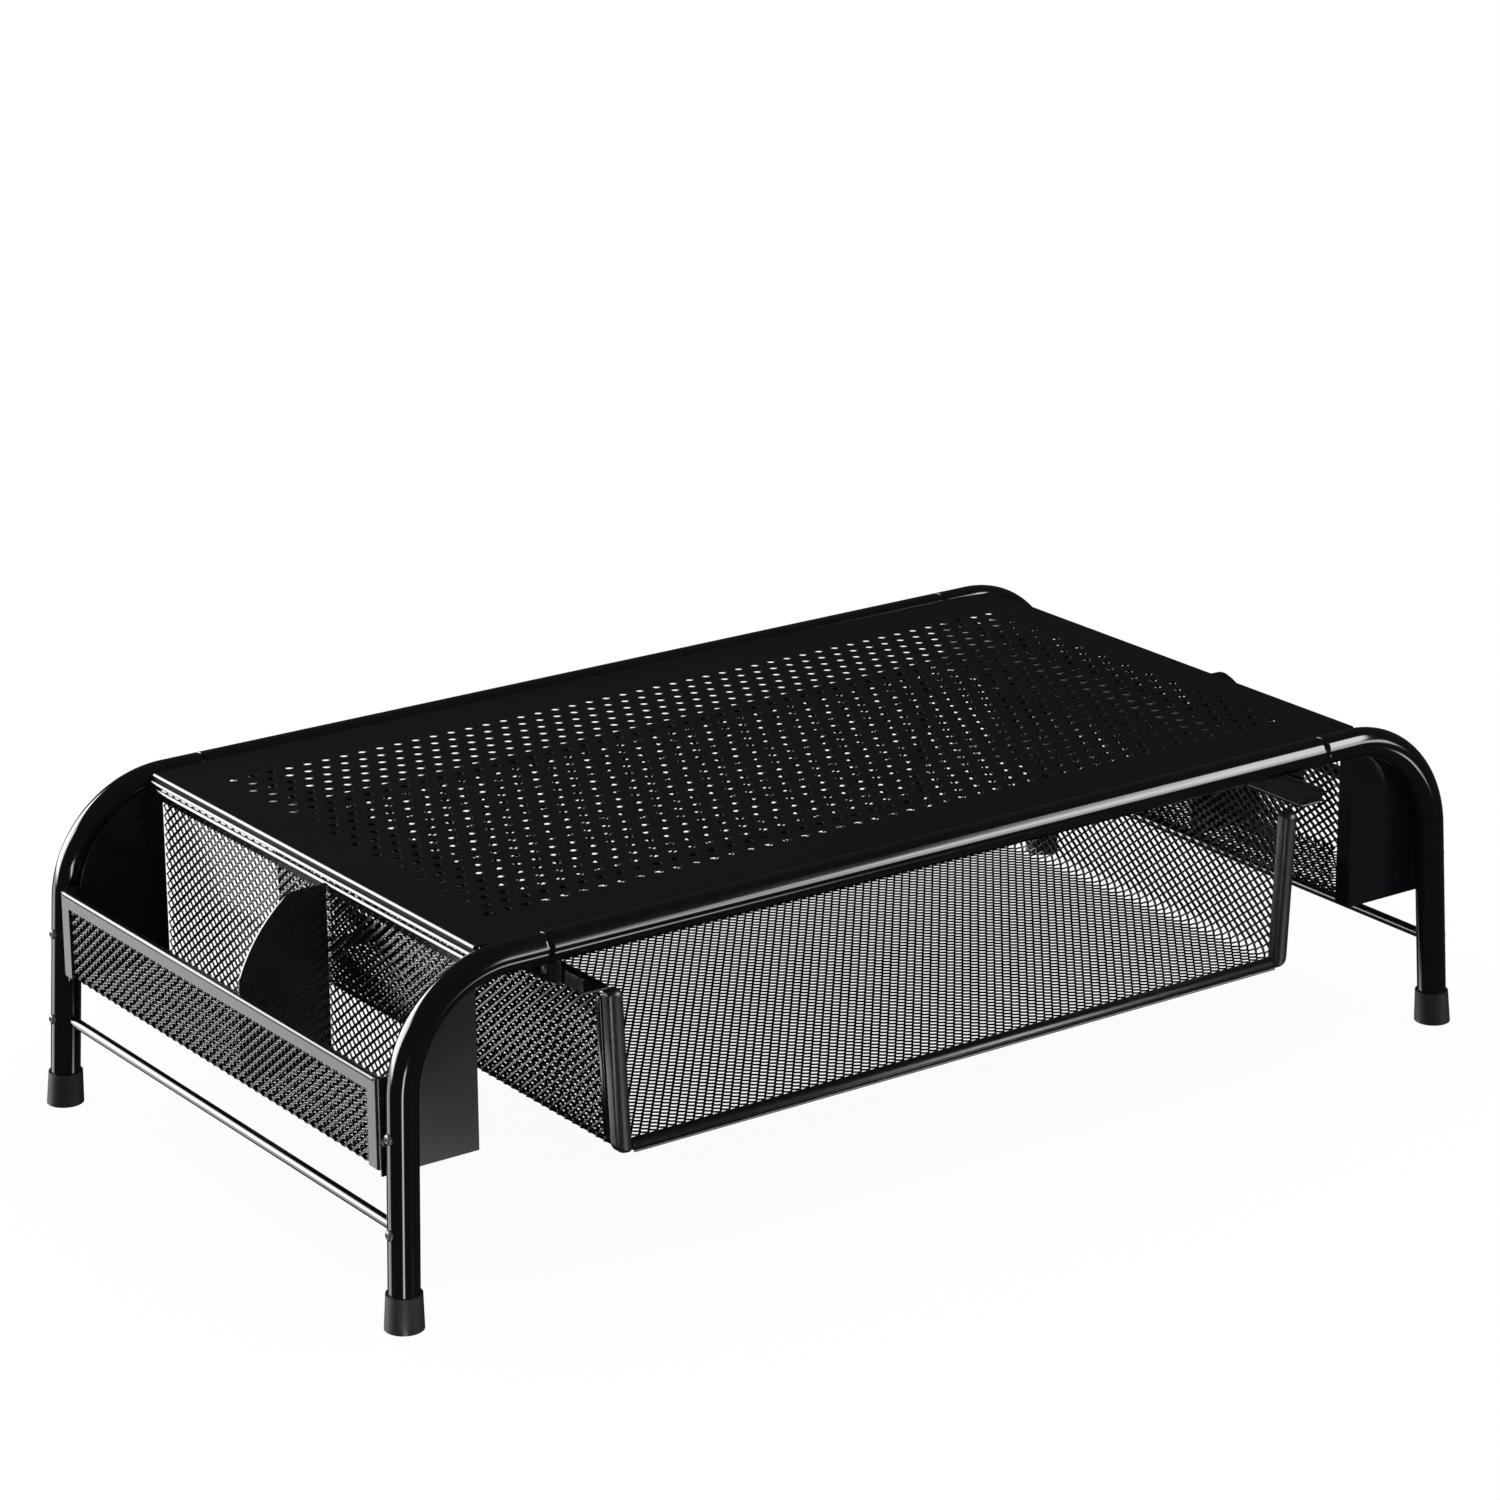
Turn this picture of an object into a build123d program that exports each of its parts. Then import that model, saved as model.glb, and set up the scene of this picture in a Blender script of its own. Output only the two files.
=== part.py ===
from build123d import *
from math import cos, radians, sin, sqrt, tan
import os

# Desk riser: a perforated steel deck on a bent-tube frame, a mesh bin on each side and a
# mesh drawer under the deck. Sizes are in mm, +X to the right, +Y to the back, +Z up.
# The origin is on the desk, in the middle of the riser. Right-hand pieces are drawn, and
# left-hand ones are their mirror images.

os.makedirs("parts", exist_ok=True)

# Tubular frame: two arches, each a straight rail with a bent leg plugged into both ends
tube_d = 12.0
rail_bore = 10.0
rail_inset = 26.0
rail_spacing = 250.8
rail_height = 130.4
leg_reach = 59.8
bend_radius = 45.0
leg_splay = 2.5
arch_tilt = 2.0
spigot_length = 16.0
spigot_clearance = 0.1

# Rubber foot caps
cap_height = 13.5
cap_base_d = 15.0
cap_wall = 0.9
cap_floor = 2.5
cap_clearance = 0.05

# Cross rods between the legs of each side
rod_d = 4.2
rod_height = 36.6

# Perforated deck, with a fold and a small outward hem along both sides
deck_width = 426.0
deck_rise = 4.0
sheet = 0.8
deck_bend = 1.6
flange_depth = 4.6
hem_height = 2.2
hole_d = 18.0
hole_pitch = 44.0
hole_margin_x = 30.0
hole_margin_y = 20.0

# Side bins
bin_width = 41.4
bin_bottom_drop = 78.9
floor_rise = 1.1
bin_lip_height = 38.5
bin_bend = 4.4
panel_tube_gap = 0.2
flange_gap = 0.2
panel_inset = 1.0
end_flange = 8.0
top_strip_height = 8.0
frame_fold = 1.6
frame_drop = 3.0
frame_top_band = 6.0
frame_end_band = 7.0
frame_return = 7.0
divider_y = -17.5
divider_flat = 16.0
divider_top_gap = 0.8
divider_slope = 0.4
divider_shoulder = 8.0
divider_bulge = 3.0
divider_lip_rise = 4.0
divider_gap = 0.2

# Drawer
drawer_front_y = -137.5
drawer_depth = 242.0
drawer_inset = 46.0
drawer_taper = 3.5
drawer_bottom = 46.5
drawer_bar = 7.0
drawer_sill = 4.0
drawer_bar_depth = 5.0
drawer_bar_round = 1.8
drawer_corner = 7.0
drawer_bend = 5.0
drawer_floor_rise = 0.8
rear_band = 6.0

# Slides on the drawer, and the fixed runners that carry them
slide_drop = 13.6
slide_width = 11.5
slide_height = 6.5
slide_sheet = 1.0
slide_fold = 1.4
slide_lip = 0.6
runner_sheet = 1.0
runner_fold = 1.5
runner_side_gap = 0.5
runner_lip_gap = 0.3
runner_lip = 9.5
runner_flange = 10.0
runner_end_gap = 7.4
runner_nose = 6.5
runner_nose_gap = 0.9

# Expanded mesh, drawn with large diamonds
strand = 2.8
strand_slope = 1.6
diamond_length = 38.0
diamond_height = 19.0
floor_diamond_length = 50.0
floor_diamond_height = 34.0

SIDES = (("left", -1), ("right", 1))
ENDS = (("front", -1), ("rear", 1))

# Places worked out from the sizes
tube_r = tube_d / 2
rail_length = deck_width - 2 * rail_inset
drawer_top_width = deck_width - 2 * drawer_inset
rail_y = rail_spacing / 2
leg_top_x = rail_length / 2 + leg_reach
splay = tan(radians(leg_splay)) / cos(radians(arch_tilt))
tilt = tan(radians(arch_tilt))
bend_start_x = leg_top_x - bend_radius * tan(radians(90 - leg_splay) / 2)

deck_top = rail_height + deck_rise
deck_under = deck_top - sheet
deck_half_x = deck_width / 2
deck_half_y = rail_y - sqrt(tube_r**2 - (deck_under - rail_height) ** 2)
flange_bottom = deck_top - flange_depth

panel_face_y = rail_y - tube_r - panel_tube_gap
panel_back_y = panel_face_y - sheet
bin_inner_x = deck_half_x
bin_outer_x = bin_inner_x + bin_width
bin_bottom = deck_top - bin_bottom_drop
bin_floor = bin_bottom + floor_rise
bin_lip_z = bin_bottom + bin_lip_height

slide_top = deck_under - slide_drop
slide_bottom = slide_top - slide_height
drawer_top = slide_bottom + slide_lip
drawer_floor = drawer_bottom + drawer_floor_rise
drawer_back_y = drawer_front_y + drawer_depth
tray_front_y = drawer_front_y + drawer_bar_depth
tray_back_y = drawer_back_y - 2 * sheet
drawer_lean = drawer_taper / (drawer_top - drawer_bottom)
slide_inner_x = drawer_top_width / 2
slide_outer_x = slide_inner_x + slide_width
runner_web_x = slide_outer_x + runner_side_gap
runner_bottom = slide_bottom - runner_lip_gap - runner_sheet


def save(piece, name):
    """Label a finished piece and write it to its STEP file."""
    piece.part.label = name
    export_step(piece.part, f"parts/{name}.step")


def save_pair(piece, name):
    """Write a right-hand piece and its mirror image for the left."""
    save(piece, f"right_{name}")
    with BuildPart() as twin:
        mirror(piece.part, about=Plane.YZ)
    save(twin, f"left_{name}")


def leg_x(z):
    """Distance of a leg's centre line from the middle of the riser, at height z."""
    return leg_top_x + (rail_height - z) * splay


def leg_y(z):
    """The same distance from front to back."""
    return rail_y + (rail_height - z) * tilt


def leg_point(side, end, z):
    """Point of a leg's centre line at height z."""
    return Vector(side * leg_x(z), end * leg_y(z), z)


def drawer_edge_x(z):
    """Distance of the drawer's leaning side from the middle, at height z."""
    return drawer_top_width / 2 - drawer_lean * (drawer_top - z)


def across_y(y):
    """Plane that faces the front at depth y, with X to the right and Z up."""
    return Plane(origin=(0, y, 0), x_dir=(1, 0, 0), z_dir=(0, -1, 0))


def folded_sheet(points, radius, thickness, inside, y_front, y_back):
    """Sheet folded along a line of points across the riser, running from front to back."""
    with BuildSketch(across_y(y_back)) as profile:
        with BuildLine():
            FilletPolyline(*points, radius=radius)
            offset(amount=thickness, side=inside)
        make_face()
    extrude(profile.sketch, amount=y_back - y_front)


def cut_diamonds(plane, length, height, pitch_x, pitch_y):
    """Cut a staggered field of diamonds, as in expanded metal, round a plane's origin."""
    across = int((length - strand) / pitch_x)
    rows = int((height - strand) / pitch_y)
    half_x = (pitch_x - strand * strand_slope) / 2
    half_y = (pitch_y - strand) / 2
    diamond = ((-half_x, 0), (0, -half_y), (half_x, 0), (0, half_y))
    with BuildSketch(plane) as diamonds:
        with GridLocations(pitch_x, pitch_y, across, rows):
            Polygon(*diamond)
        if across > 1 and rows > 1:
            with GridLocations(pitch_x, pitch_y, across - 1, rows - 1):
                Polygon(*diamond)
    extrude(diamonds.sketch, amount=2 * sheet, both=True, mode=Mode.SUBTRACT)


# Front and rear rails: plain tubes that run from seam to seam
for end_name, end in ENDS:
    with BuildPart() as rail:
        with BuildSketch(Plane.YZ.offset(-rail_length / 2)):
            with Locations((end * rail_y, rail_height)):
                Circle(tube_r)
                Circle(rail_bore / 2, mode=Mode.SUBTRACT)
        extrude(amount=rail_length)
    save(rail, f"{end_name}_rail")

# Legs: a tube bent down from each end of a rail, with a neck that plugs into the rail. The
# two legs of a rail share a node.
legs = {}
for end_name, end in ENDS:
    with BuildPart() as leg_pair:
        for _, side in SIDES:
            up = Vector(0, -end * sin(radians(arch_tilt)), cos(radians(arch_tilt)))
            outward = Vector(side, 0, 0)
            arch = Plane(origin=(0, end * rail_y, rail_height), x_dir=outward, z_dir=outward.cross(up))
            drop = (rail_height - cap_floor) / cos(radians(arch_tilt))
            reach = drop * tan(radians(leg_splay))
            with BuildLine(arch) as centre_line:
                FilletPolyline(
                    (rail_length / 2, 0), (leg_top_x, 0), (leg_top_x + reach, -drop), radius=bend_radius
                )
            with BuildSketch(Plane(origin=centre_line.line @ 0, z_dir=centre_line.line % 0)):
                Circle(tube_r)
            sweep()
            with BuildSketch(Plane(origin=centre_line.line @ 0, z_dir=-outward)):
                Circle(rail_bore / 2 - spigot_clearance)
            extrude(amount=spigot_length)
    legs[end_name] = leg_pair.part
    save(leg_pair, f"{end_name}_legs")

# Foot caps: four rubber cups, each with its socket along the leg
with BuildPart() as foot_caps:
    for _, end in ENDS:
        for _, side in SIDES:
            base = leg_point(side, end, 0)
            seat = leg_point(side, end, cap_floor)
            rim = leg_point(side, end, cap_height)
            with BuildSketch(Plane(origin=base)):
                Circle(cap_base_d / 2)
            with BuildSketch(Plane(origin=rim)):
                Circle(tube_r + cap_wall)
            loft()
            with BuildSketch(Plane(origin=seat, z_dir=rim - base)):
                Circle(tube_r + cap_clearance)
            extrude(amount=cap_height, mode=Mode.SUBTRACT)
save(foot_caps, "foot_caps")

# Cross rods: one on each side, cut to fit the two legs that it joins
with BuildPart() as rod:
    with BuildSketch(Plane(origin=leg_point(1, -1, rod_height), z_dir=(0, 1, 0))):
        Circle(rod_d / 2)
    extrude(amount=2 * leg_y(rod_height))
    for end_name, _ in ENDS:
        add(legs[end_name], mode=Mode.SUBTRACT)
    split(bisect_by=across_y(leg_y(rod_height)), keep=Keep.TOP)
    split(bisect_by=across_y(-leg_y(rod_height)), keep=Keep.BOTTOM)
save_pair(rod, "cross_rod")

# Deck: a perforated sheet with a folded and hemmed flange along both sides
with BuildPart() as deck:
    with BuildSketch(Plane.XY.offset(deck_under)):
        Rectangle(deck_width - 2 * deck_bend, 2 * deck_half_y)
    extrude(amount=sheet)
    flange_y = panel_back_y - flange_gap
    right_fold = (
        (deck_half_x, flange_bottom),
        (deck_half_x, deck_top),
        (deck_half_x - 2 * deck_bend, deck_top),
    )
    with BuildSketch(across_y(flange_y)) as fold:
        with BuildLine():
            FilletPolyline(*right_fold, radius=deck_bend)
            offset(amount=sheet, side=Side.LEFT)
        make_face()
        with Locations((deck_half_x + sheet / 2, flange_bottom + hem_height / 2)):
            Rectangle(sheet, hem_height)
        mirror(about=Plane.YZ)
    extrude(amount=2 * flange_y)
    columns = int((deck_width - 2 * hole_margin_x) / hole_pitch) + 1
    rows = int((deck_half_y - hole_margin_y) / (hole_pitch * sin(radians(60)))) + 1
    with BuildSketch(Plane.XY.offset(deck_under)):
        with GridLocations(hole_pitch, 2 * hole_pitch * sin(radians(60)), columns, rows):
            RegularPolygon(hole_d / 2, 6)
        with GridLocations(hole_pitch, 2 * hole_pitch * sin(radians(60)), columns - 1, rows - 1):
            RegularPolygon(hole_d / 2, 6)
    extrude(amount=sheet, mode=Mode.SUBTRACT)
save(deck, "deck")

# Bin end panels: flat plates that follow the inside of the bent tube, with a return flange
# along the edge that faces the drawer
panel_inner_x = bin_inner_x - sheet
panel_outer_x = bin_outer_x + sheet - frame_fold
panel_radius = bend_radius - panel_inset
bend_centre_z = rail_height - bend_radius
panel_top = bend_centre_z + sqrt(panel_radius**2 - (panel_inner_x - bend_start_x) ** 2)
ear_z = bin_lip_z - 2 * sheet
ear_x = bend_start_x + sqrt(panel_radius**2 - (ear_z - bend_centre_z) ** 2)
for end_name, end in ENDS:
    with BuildPart() as panel:
        with BuildSketch(across_y(max(end * panel_face_y, end * panel_back_y))):
            with BuildLine():
                Polyline(
                    (ear_x, ear_z), (panel_outer_x, ear_z), (panel_outer_x, bin_bottom),
                    (panel_inner_x, bin_bottom), (panel_inner_x, panel_top),
                )
                RadiusArc((panel_inner_x, panel_top), (ear_x, ear_z), panel_radius)
            make_face()
        extrude(amount=sheet)
        with BuildSketch(Plane.XY.offset(bin_bottom)):
            with Locations((panel_inner_x + sheet / 2, end * (panel_face_y - end_flange / 2))):
                Rectangle(sheet, end_flange)
        extrude(amount=panel_top - bin_bottom)
    save_pair(panel, f"bin_{end_name}_panel")

# Bin net: inner wall, floor and outer wall, folded from expanded metal
inner_wall_y = panel_face_y - end_flange
inner_bend_x = bin_inner_x + bin_bend
outer_bend_x = bin_outer_x - bin_bend - sheet
mesh_top = bin_lip_z - sheet

with BuildPart() as inner_wall:
    top = (panel_inner_x, flange_bottom)
    corner = (panel_inner_x, bin_floor)
    bend_end = (inner_bend_x, bin_floor)
    folded_sheet((top, corner, bend_end), bin_bend, sheet, Side.LEFT, -inner_wall_y, inner_wall_y)
    height = flange_bottom - bin_floor - bin_bend
    middle = Plane(origin=(bin_inner_x, 0, flange_bottom - height / 2), x_dir=(0, 1, 0), z_dir=(1, 0, 0))
    cut_diamonds(middle, 2 * inner_wall_y, height, diamond_length, diamond_height)
save_pair(inner_wall, "bin_inner_wall")

with BuildPart() as outer_wall:
    top = (bin_outer_x, mesh_top)
    corner = (bin_outer_x, bin_floor)
    bend_end = (outer_bend_x, bin_floor)
    folded_sheet((top, corner, bend_end), bin_bend, sheet, Side.RIGHT, -panel_back_y, panel_back_y)
    height = mesh_top - bin_floor - bin_bend
    middle = Plane(origin=(bin_outer_x, 0, mesh_top - height / 2), x_dir=(0, 1, 0), z_dir=(1, 0, 0))
    cut_diamonds(middle, 2 * panel_back_y, height, diamond_length, diamond_height)
save_pair(outer_wall, "bin_outer_wall")

with BuildPart() as bin_net:
    width = outer_bend_x - inner_bend_x
    middle = Plane(origin=(inner_bend_x + width / 2, 0, bin_floor), x_dir=(0, 1, 0), z_dir=(0, 0, 1))
    with BuildSketch(middle):
        Rectangle(2 * panel_back_y, width)
    extrude(amount=sheet)
    cut_diamonds(middle, 2 * panel_back_y, width, diamond_length, diamond_height)
save_pair(bin_net, "bin_floor")

# Solid strip that grips the top of the inner wall
with BuildPart() as top_strip:
    with BuildSketch(Plane.YZ.offset(bin_inner_x)):
        with Locations((0, flange_bottom - flange_gap - top_strip_height / 2)):
            Rectangle(2 * (panel_back_y - flange_gap), top_strip_height)
    extrude(amount=sheet)
save_pair(top_strip, "bin_top_strip")

# Outer frame: a strip round three sides of the outer wall, folded back at both ends and
# hemmed over the top of the net
with BuildPart() as outer_frame:
    end_y = panel_face_y + sheet
    face_x = bin_outer_x + sheet
    tail_x = bin_outer_x - frame_return
    with BuildSketch(Plane.XY.offset(bin_bottom + frame_drop)):
        with BuildLine():
            FilletPolyline(
                (tail_x, -end_y), (face_x, -end_y), (face_x, end_y), (tail_x, end_y), radius=frame_fold
            )
            offset(amount=sheet, side=Side.LEFT)
        make_face()
    extrude(amount=bin_lip_height - frame_drop)
    with BuildSketch(Plane.YZ.offset(bin_outer_x)):
        with Locations((0, bin_bottom + (bin_lip_height - frame_top_band) / 2)):
            Rectangle(2 * (end_y - frame_end_band), bin_lip_height - frame_top_band)
    extrude(amount=2 * sheet, mode=Mode.SUBTRACT)
    with BuildSketch(Plane.XY.offset(mesh_top)):
        with Locations((bin_outer_x - sheet / 2, 0)):
            Rectangle(3 * sheet, 2 * panel_back_y)
    extrude(amount=sheet)
save_pair(outer_frame, "bin_outer_frame")

# Divider: an upright plate across the bin, falling in a curve to the outer wall
with BuildPart() as divider:
    inner_x = bin_inner_x + sheet
    outer_x = bin_outer_x - 2 * sheet - divider_gap
    top_z = flange_bottom - divider_top_gap
    foot_z = bin_floor + sheet
    shoulder = (inner_x + divider_flat, top_z - divider_slope)
    lip = (outer_x, bin_lip_z + divider_lip_rise)
    with BuildSketch(across_y(divider_y + sheet / 2)):
        with BuildLine():
            Polyline(
                lip, (outer_x, foot_z + bin_bend), (outer_x - bin_bend, foot_z),
                (inner_x + bin_bend, foot_z), (inner_x, foot_z + bin_bend), (inner_x, top_z), shoulder,
            )
            SagittaArc(shoulder, lip, divider_bulge)
        make_face()
        fillet(vertices().sort_by_distance(shoulder)[0], divider_shoulder)
    extrude(amount=sheet)
save_pair(divider, "bin_divider")

# Runners: C-shaped rails under the deck, with a nose that reaches under the front rail
with BuildPart() as runner:
    outside_x = runner_web_x + runner_sheet
    front_y = -(rail_y - tube_r - runner_nose_gap)
    back_y = rail_y - tube_r - runner_end_gap
    lip_end = (outside_x - runner_lip, runner_bottom)
    flange_end = (outside_x - runner_flange, deck_under)
    folded_sheet(
        (lip_end, (outside_x, runner_bottom), (outside_x, deck_under), flange_end),
        runner_fold, runner_sheet, Side.LEFT, front_y, back_y,
    )
    nose_top = rail_height - tube_r - runner_nose_gap
    with BuildSketch(Plane.XY.offset(runner_bottom + runner_fold)):
        with Locations((runner_web_x + runner_sheet / 2, front_y - runner_nose / 2)):
            Rectangle(runner_sheet, runner_nose)
    extrude(amount=nose_top - runner_bottom - runner_fold)
save_pair(runner, "runner")

# Slides: channels along the top of the drawer's sides, carried by the runners
with BuildPart() as slide:
    folded_sheet(
        ((slide_outer_x, slide_top), (slide_outer_x, slide_bottom), (slide_inner_x, slide_bottom)),
        slide_fold, slide_sheet, Side.RIGHT, drawer_front_y, drawer_back_y,
    )
    with BuildSketch(across_y(drawer_back_y)):
        with Locations((slide_inner_x + slide_sheet / 2, slide_bottom + (slide_sheet + slide_lip) / 2)):
            Rectangle(slide_sheet, slide_sheet + slide_lip)
    extrude(amount=drawer_depth)
save_pair(slide, "slide")

# Drawer front: a rounded bar bent in a U, open at the top
with BuildPart() as front_frame:
    low_x = drawer_edge_x(drawer_bottom)
    high_x = drawer_top_width / 2
    sill_z = drawer_bottom + drawer_sill
    inner_low_x = drawer_edge_x(sill_z) - drawer_bar
    with BuildSketch(across_y(tray_front_y)):
        Polygon(
            (-high_x, drawer_top), (-low_x, drawer_bottom), (low_x, drawer_bottom), (high_x, drawer_top),
            align=None,
        )
        fillet(vertices().sort_by(Axis.Y)[:2], drawer_corner)
        Polygon(
            (drawer_bar - high_x, drawer_top), (-inner_low_x, sill_z),
            (inner_low_x, sill_z), (high_x - drawer_bar, drawer_top),
            align=None, mode=Mode.SUBTRACT,
        )
    extrude(amount=drawer_bar_depth)
    fillet(faces().sort_by(Axis.Y)[0].edges(), drawer_bar_round)
save(front_frame, "drawer_front_frame")

# Drawer net: two leaning sides with rounded lower edges, a floor and a rear wall
tray_length = tray_back_y - tray_front_y
tray_middle_y = (tray_front_y + tray_back_y) / 2
floor_half_x = drawer_edge_x(drawer_floor) - drawer_bend - 2 * sheet

with BuildPart() as side_net:
    top = (drawer_edge_x(drawer_top), drawer_top)
    corner = (drawer_edge_x(drawer_floor), drawer_floor)
    folded_sheet(
        (top, corner, (floor_half_x, drawer_floor)), drawer_bend, sheet, Side.RIGHT, tray_front_y, tray_back_y
    )
    height = drawer_top - drawer_floor - drawer_bend
    middle_z = drawer_top - height / 2
    middle = Plane(
        origin=(drawer_edge_x(middle_z), tray_middle_y, middle_z), x_dir=(0, 1, 0), z_dir=(1, 0, -drawer_lean)
    )
    cut_diamonds(middle, tray_length, height, diamond_length, diamond_height)
save_pair(side_net, "drawer_side")

with BuildPart() as floor_net:
    middle = Plane(origin=(0, tray_middle_y, drawer_floor))
    with BuildSketch(middle):
        Rectangle(2 * floor_half_x, tray_length)
    extrude(amount=sheet)
    cut_diamonds(middle, 2 * floor_half_x, tray_length, floor_diamond_length, floor_diamond_height)
save(floor_net, "drawer_floor")

with BuildPart() as rear_net:
    low_x = drawer_edge_x(drawer_floor)
    outline = ((-high_x, drawer_top), (-low_x, drawer_floor), (low_x, drawer_floor), (high_x, drawer_top))
    with BuildSketch(across_y(drawer_back_y - sheet)):
        Polygon(*outline, align=None)
        fillet(vertices().sort_by(Axis.Y)[:2], drawer_bend)
    extrude(amount=sheet)
    height = drawer_top - drawer_floor - 2 * rear_band
    cut_diamonds(
        Plane(origin=(0, drawer_back_y, (drawer_top + drawer_floor) / 2), x_dir=(1, 0, 0), z_dir=(0, -1, 0)),
        2 * (low_x - rear_band), height, diamond_length, diamond_height,
    )
save(rear_net, "drawer_rear")

with BuildPart() as rear_frame:
    with BuildSketch(across_y(drawer_back_y)):
        Polygon(*outline, align=None)
        fillet(vertices().sort_by(Axis.Y)[:2], drawer_bend)
        offset(amount=-rear_band, mode=Mode.SUBTRACT)
    extrude(amount=sheet)
save(rear_frame, "drawer_rear_frame")
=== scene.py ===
from math import atan2, cos, pi, radians, sin, sqrt, tan

import bmesh
import bpy
from mathutils import Euler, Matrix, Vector


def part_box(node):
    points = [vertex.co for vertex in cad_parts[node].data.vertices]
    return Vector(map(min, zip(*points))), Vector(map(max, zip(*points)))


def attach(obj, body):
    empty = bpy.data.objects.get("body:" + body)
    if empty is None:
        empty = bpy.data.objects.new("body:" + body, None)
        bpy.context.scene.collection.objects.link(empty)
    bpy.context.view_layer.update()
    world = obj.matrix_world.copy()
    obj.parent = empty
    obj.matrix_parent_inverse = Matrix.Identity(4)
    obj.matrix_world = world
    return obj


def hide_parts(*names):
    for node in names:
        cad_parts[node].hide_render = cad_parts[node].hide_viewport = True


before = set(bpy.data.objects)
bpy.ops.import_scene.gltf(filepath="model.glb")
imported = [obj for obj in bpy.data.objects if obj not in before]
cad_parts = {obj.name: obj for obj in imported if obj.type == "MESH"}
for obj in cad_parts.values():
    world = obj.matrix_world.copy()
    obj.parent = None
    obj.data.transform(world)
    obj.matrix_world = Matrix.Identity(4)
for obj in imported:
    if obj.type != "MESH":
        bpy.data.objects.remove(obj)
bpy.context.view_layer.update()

# Desk riser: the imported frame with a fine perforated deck, expanded-metal nets, small
# fasteners and coated-steel materials. Metres, +X right, +Y back, +Z up, origin on the desk.

MM = 0.001
SIDES = (("Left", -1), ("Right", 1))
ENDS = (("Front", -1), ("Rear", 1))

# Camera, placed as the photograph's was
camera_place = Vector((-1.04866, -1.46121, 0.73982))
camera_turn = 35.52
camera_drop = 18.61
camera_roll = -0.24
camera_lens = 113.24
sensor_width = 36.0

# Perforated deck
deck_sheet = 0.6 * MM
deck_bend = 1.3 * MM
deck_edge = 1.8 * MM
flange_lean = 0.7 * MM
hole_d = 3.5 * MM
hole_rim = 0.15 * MM
hole_pitch = 8.45 * MM
hole_row_pitch = 7.75 * MM
hole_columns = 46
hole_rows = 25
hole_sides = 12
flange_overrun = 0.2 * MM

# Rolled edges: the deck's hems, and the upper edges of the bins' top strips. The underside is
# given as (inset, drop) in millimetres, and the turns in degrees
lip_height = 0.9 * MM
lip_turns = (16, 46)
lip_underside = ((0.5, 0.3), (0.12, 0.22), (0.02, 0.1))
bend_lip_drop = 0.95 * MM
bend_lip_reach = 0.4 * MM
hem_rise_from_deck = 1.1 * MM
strip_height = 4.6 * MM
strip_lip_drop = 1.4 * MM
strip_lean = 0.3 * MM

# Expanded metal: diamonds between twisted strands, in the middle of the frame's sheet
sheet = 0.8 * MM
cell_length = 5.23 * MM
cell_height = 4.10 * MM
strand_width = 0.95 * MM
strand_thickness = 0.5 * MM
strand_lift = 0.42 * MM
knuckle = 0.35 * MM
bin_bend = 4.4 * MM
drawer_bend = 5.0 * MM
drawer_taper = 3.5 * MM

# Rolled rims of the bins. Their ends are (distance in radii, share of the full radius)
rim_round = 1.15 * MM
rim_sink = 0.75 * rim_round
rim_ends = ((1.0, 0.3), (1.6, 0.85), (2.4, 1.0))
rim_sides = 16

# Drawer's front bar: posts with blunt ends and a sill between them, and the hems behind it
bar_width = 7.0 * MM
bar_corner = 4.2 * MM
bar_inner_round = 1.0 * MM
bar_end_round = 2.4 * MM
bar_blunt = 2.0 * MM
bar_steps = 14
sill_height = 4.0 * MM
sill_fullness = 0.9
sill_squareness = 0.45
sill_bead = 0.5 * MM
post_squareness = 0.35
post_top_gap = 2.2 * MM
groove = 0.6 * MM
hem_width = 3.2 * MM
hem_rise = 0.9 * MM
hem_setback = 0.7 * MM
hem_top_gap = 5.5 * MM

# Sheared edges
edge_round = 0.3 * MM

# Tubes, each with a rounded end, so that the seams show as grooves
tube_r = 6.0 * MM
tube_segments = 56
seam_round = 0.9 * MM
leg_top_x = 246.8 * MM
leg_foot_z = 2.5 * MM
leg_bend = 45.0 * MM
leg_bend_steps = 28
arch_tilt = 2.0

# Fasteners, with a socket given as (share of the radius, share of the rise)
screw_segments = 20
screw_socket = ((0.42, 1.0), (0.36, 0.86), (0.34, 0.2), (0.05, 0.12))
screw_d = 4.4 * MM
screw_rise = 1.2 * MM
screw_depth = 0.4 * MM
screw_seat = 5.9 * MM
rod_screw_z = 36.6 * MM
panel_screw_z = 73.0 * MM
small_screw_d = 3.4 * MM
small_screw_rise = 0.8 * MM
small_screw_depth = 0.3 * MM
bin_screw_inset = 2.8 * MM
bin_screw_z = 69.0 * MM
runner_screw_inset = 10.0 * MM
runner_screw_height = 5.0 * MM

# Feet and legs
cap_base_d = 15.0 * MM
leg_splay = 0.0437

# Studio: share of the floor's white that no shadow dims, half the floor's width, light between
# the panels, and the panels, in degrees but for the strength. They turn from the back towards
# the right
floor_glow = 0.95
floor_reach = 14.0
studio_gloom = 0.05
softboxes = (
    {"turn": 132, "height": 28, "tilt": -52, "width": 36, "tall": 9, "softness": 2.5, "strength": 17.0},
    {"turn": 139, "height": 6, "tilt": 0, "width": 28, "tall": 12, "softness": 2, "strength": 9.5},
    {"turn": 149, "height": -29, "tilt": 0, "width": 13, "tall": 8, "softness": 1.5, "strength": 9.0},
    {"turn": -35, "height": 14, "tilt": 0, "width": 50, "tall": 36, "softness": 4, "strength": 19.0},
    {"turn": -35, "height": -18, "tilt": 0, "width": 30, "tall": 24, "softness": 4, "strength": 4.0},
)

# Light from above
overhead_place = Vector((-0.3, -0.2, 2.0))
overhead_size = 1.5
overhead_power = 6

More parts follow.
